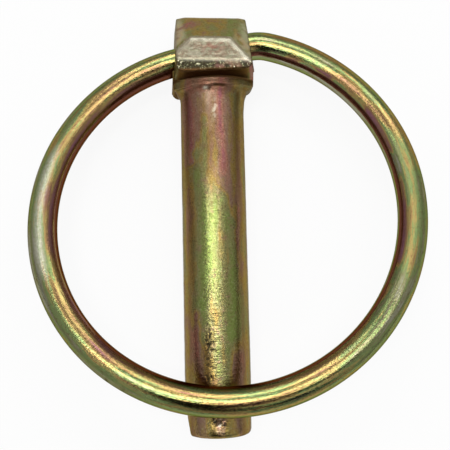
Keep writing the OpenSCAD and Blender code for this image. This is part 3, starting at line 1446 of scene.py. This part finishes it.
    def bloom(self, at: Vector, out: float) -> float:
        """Give the passivation's hue at a place.

        Args:
            at: a point in the ring's own plane coordinates.
            out: outward offset across the wire, from -1 to 1.

        Returns:
            A value from 0, grey, through olive and green to 1, rose.
        """
        left = smooth_step(-2.0, -14.0, at.x)
        right = smooth_step(2.0, 12.0, at.x)
        patch = smooth_step(-0.25, 0.25, grain(Vector((at.x, at.y, 0)), 3.5, 6.0))
        hue = 0.44 + 0.13 * grain(at, 4.0, 9.0)
        hue += left * (0.09 * bump_at(out + 0.5, 0.40) - 0.14 * smooth_step(0.1, 0.6, out))
        hue += left * 0.28 * bump_at(out + 0.80, 0.17)
        hue += right * (0.46 * patch - 0.08) * bump_at(out + 0.70, 0.15)
        hue += right * 0.10 * smooth_step(0.1, 0.6, out) * smooth_step(20.0, 12.0, at.y)
        low_right = smooth_step(17.0, 12.0, at.y) * smooth_step(4.0, 8.0, at.y)
        hue += right * 0.25 * bump_at(out + 0.35, 0.30) * low_right
        hue += (0.45 - hue) * 0.85 * smooth_step(33.0, 39.0, at.y)
        return hue + (0.36 - hue) * smooth_step(-0.955, -0.985, out)

    def matte(self, at: Vector, out: float) -> float:
        """Give the share of dull, grainy surface at a place.

        Args:
            at: a point in the ring's own plane coordinates.
            out: outward offset across the wire, from -1 to 1.

        Returns:
            A value from 0, bright, to 1, dull.
        """
        left = smooth_step(-12.0, -18.0, at.x)
        left *= smooth_step(3.0, 9.0, at.y) * smooth_step(29.0, 22.0, at.y)
        right = smooth_step(10.0, 16.0, at.x)
        right *= smooth_step(14.0, 19.0, at.y) * smooth_step(39.0, 34.0, at.y)
        low = smooth_step(-13.0, -17.0, at.x)
        low *= smooth_step(24.0, 30.0, at.y) * smooth_step(0.1, 0.5, out)
        return max(left, right, low) * smooth_step(-0.75, -0.35, out)

    def weather(self, bm: bmesh.types.BMesh) -> None:
        """Note the wire's places, hue and wear, with its painted shade and painted highlight, in
        attributes.

        Args:
            bm: the wire in the ring's own plane; its attributes are filled here.
        """
        where = bm.verts.layers.float_vector.new("wire_place")
        names = ("inner", "hue", "matte", "pit", "wear_and_sheen")
        layers = {name: bm.verts.layers.float.new(name) for name in names}
        for vert in bm.verts:
            at, place = vert.co, self.wire_place(vert.co)
            vert[where] = place
            out = place.x / self.wire_r
            plain = smooth_step(-10.0, -16.0, at.x) * smooth_step(36.0, 30.0, at.y)
            # painted shade along the wire's inner side and its innermost lip
            lip_shade = 0.8 * smooth_step(-0.90, -0.96, out) * smooth_step(2.0, -6.0, at.x)
            vert[layers["inner"]] = max(lip_shade, bump_at(out + 0.87, 0.10) * (1 - 0.7 * plain))
            vert[layers["matte"]] = self.matte(at, out)
            vert[layers["hue"]] = self.bloom(at, out)
            # pale band along the middle of the left wire: partly wear, partly a painted highlight
            left = smooth_step(-17.0, -22.0, at.x) * smooth_step(4.0, 12.0, at.y)
            left *= smooth_step(29.0, 22.0, at.y)
            vert[layers["wear_and_sheen"]] = 0.8 * left * bump_at(out - 0.05, 0.45)
            dents = smooth_step(0.35, 0.75, out) * smooth_step(0.42, 0.60, grain(at, 0.8, 8.0))
            vert[layers["pit"]] = 0.8 * dents * smooth_step(0.0, 0.3, grain(at, 5.0, 1.0))

    def build(self) -> bpy.types.Object:
        """Build the finished ring.

        Returns:
            The ring, in metres, riding on its body.
        """
        bm = self.tube()
        self.weather(bm)
        bmesh.ops.transform(bm, matrix=Matrix.Scale(MM, 4) @ self.place(), verts=bm.verts[:])
        bmesh.ops.recalc_face_normals(bm, faces=bm.faces[:])
        for face in bm.faces:
            face.smooth = len(face.verts) == 4
        piece = new_object("spring_ring", bm)
        piece.data.materials.append(WireZinc().build())
        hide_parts("ring")
        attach(piece, "ring")
        return piece


def sky(across: float, along: float) -> Vector:
    """Give the direction at two angles from straight up.

    Args:
        across: degrees towards +X.
        along: degrees towards +Y.

    Returns:
        A unit vector.
    """
    polar, way = math.radians(math.hypot(across, along)), math.atan2(along, across)
    flat = math.sin(polar)
    return Vector((flat * math.cos(way), flat * math.sin(way), math.cos(polar)))


@dataclass(frozen=True)
class SoftLamp:
    """One soft strip lamp, placed by the directions of its two ends as seen from the pin."""

    name: str
    start: tuple[float, float]
    end: tuple[float, float]
    breadth: float
    radiance: float
    away: float = 0.40
    aim_y: float = -0.018
    watts_per_area: float = 4.0

    def build(self) -> bpy.types.Object:
        """Hang the lamp and turn it to the pin.

        Returns:
            The lamp.
        """
        first, last = sky(*self.start), sky(*self.end)
        back = (first + last).normalized()
        length = (last - first).length * self.away
        width = 2 * math.tan(math.radians(self.breadth / 2)) * self.away
        side = (last - first).normalized()
        turn = Matrix((side, back.cross(side), back)).transposed()
        light = bpy.data.lights.new(self.name, "AREA")
        light.shape = "RECTANGLE"
        light.size, light.size_y = length, width
        light.energy = self.watts_per_area * length * width * self.radiance
        lamp = bpy.data.objects.new(self.name, light)
        bpy.context.scene.collection.objects.link(lamp)
        spot = back * self.away + Vector((0, self.aim_y, 0))
        lamp.matrix_world = Matrix.Translation(spot) @ turn.to_4x4()
        return lamp


@dataclass(frozen=True)
class DarkPatch:
    """One dark region of the room, seen only in reflections."""

    at: tuple[float, float]
    full: float
    fade: float


@dataclass
class Studio:
    """Pale floor, soft lamps, plain surroundings and the camera."""

    floor_z: float = -0.00406
    floor_half: float = 1.5
    floor_paint: float = 0.85
    floor_white: float = 0.90
    camera_at: Colour = (0.00130, -0.02691, 0.07974)
    tip_forward: float = 7.535
    roll: float = -1.377
    focal_px: float = 644.5
    nearest: float = 0.002
    farthest: float = 10.0
    overhead: float = 0.62
    horizon: float = 0.28
    horizon_low: float = 0.05
    horizon_high: float = 0.5
    dark: float = 0.05
    patches: tuple[DarkPatch, ...] = (
        DarkPatch((-9, -15), 8, 12),
        DarkPatch((5, -16), 8, 12),
        DarkPatch((18, -15), 7, 12),
        DarkPatch((-19, -22), 7, 12),
        DarkPatch((-12, -34), 15, 22),
        DarkPatch((-4, -48), 14, 20),
        DarkPatch((24, -50), 11, 17),
    )
    lamps: tuple[SoftLamp, ...] = (
        SoftLamp("overhead_strip", (-18, 13), (24, 2), 11.0, 3.9),
        SoftLamp("overhead_end", (-20, 3), (-1, 0), 7.5, 8.2),
        SoftLamp("far_window_left", (-17, 43), (9, 46), 15.0, 4.0),
        SoftLamp("far_window_right", (15, 42), (41, 38), 16.0, 2.6),
        SoftLamp("left_slit", (-31, -13), (-31, -25), 4.0, 1.8),
        SoftLamp("left_slit_low", (-33, -41), (-34, -57), 4.0, 1.6),
        SoftLamp("near_slit", (7, -33), (8, -48), 3.0, 2.0),
        SoftLamp("right_slit", (18, -28), (26, -40), 8.0, 0.9),
    )

    def floor(self) -> None:
        """Lay the pale floor, which the camera and reflections see as white."""
        bm = bmesh.new()
        bmesh.ops.create_grid(bm, x_segments=1, y_segments=1, size=self.floor_half)
        bmesh.ops.translate(bm, vec=(0, 0, self.floor_z), verts=bm.verts[:])
        piece = new_object("pale_floor", bm)
        material = bpy.data.materials.new("pale_floor")
        material.use_nodes = True
        bench = NodeBench(material.node_tree)
        path = bench.add("ShaderNodeLightPath")
        seen = (path, "Is Camera Ray")
        for ray in ("Is Glossy Ray", "Is Transmission Ray"):
            seen = (bench.math("MAXIMUM", seen, (path, ray)), "Value")
        share = bench.math("MULTIPLY", seen, self.floor_white)
        paint = bench.add("ShaderNodeBsdfDiffuse", Color=(*(self.floor_paint,) * 3, 1))
        mix = bench.add("ShaderNodeMixShader")
        bench.join(share, "Value", mix, "Fac")
        bench.join(paint, "BSDF", mix, 1)
        bench.join(bench.add("ShaderNodeEmission"), "Emission", mix, 2)
        bench.join(mix, "Shader", bench.add("ShaderNodeOutputMaterial"), "Surface")
        piece.data.materials.append(material)

    def surroundings(self) -> None:
        """Give the room a plain grey, duller at the horizon, with its dark places overhead."""
        world = bpy.data.worlds.new("studio")
        bpy.context.scene.world = world
        world.use_nodes = True
        bench = NodeBench(world.node_tree)
        coords = bench.add("ShaderNodeTexCoord")
        split = bench.add("ShaderNodeSeparateXYZ")
        bench.join(coords, "Generated", split, 0)
        band, levels = (self.horizon_low, self.horizon_high), (self.horizon, self.overhead)
        level = (bench.fade((split, "Z"), band, levels), "Result")
        for patch in self.patches:
            toward = bench.add("ShaderNodeVectorMath")
            toward.operation = "DOT_PRODUCT"
            toward.inputs[1].default_value = sky(*patch.at)
            bench.join(coords, "Generated", toward, 0)
            edges = [math.cos(math.radians(angle)) for angle in (patch.fade, patch.full)]
            mask = bench.fade((toward, "Value"), edges, (1.0, self.dark))
            level = (bench.math("MULTIPLY", level, (mask, "Result")), "Value")
        back = bench.add("ShaderNodeBackground")
        bench.join(*level, back, "Color")
        bench.join(back, "Background", bench.add("ShaderNodeOutputWorld"), "Surface")

    def camera(self) -> None:
        """Set the camera at the photograph's place and angle."""
        data = bpy.data.cameras.new("view")
        data.sensor_width = SENSOR_MM
        data.lens = self.focal_px / PHOTO_PX * SENSOR_MM
        data.clip_start, data.clip_end = self.nearest, self.farthest
        camera = bpy.data.objects.new("view", data)
        bpy.context.scene.collection.objects.link(camera)
        forward = Matrix.Rotation(math.radians(self.tip_forward), 3, "X")
        turn = forward @ Matrix.Rotation(math.radians(self.roll), 3, "Z")
        camera.matrix_world = Matrix.Translation(self.camera_at) @ turn.to_4x4()
        bpy.context.scene.camera = camera

    def build(self) -> None:
        """Set up the whole studio."""
        self.floor()
        self.surroundings()
        for lamp in self.lamps:
            lamp.build()
        self.camera()
        bpy.context.scene.view_settings.view_transform = "Standard"


def main() -> None:
    """Build the pin, its ring and the studio, and report each piece."""
    logging.basicConfig(level=logging.INFO, format="%(message)s")
    builders: tuple[Callable[[], bpy.types.Object], ...] = (ForgedPin().build, SpringRing().build)
    for build in builders:
        piece = build()
        points, faces = len(piece.data.vertices), len(piece.data.polygons)
        log.info("%s: %d points, %d faces", piece.name, points, faces)
    Studio().build()
    log.info("studio ready")


if __name__ == "__main__":
    main()
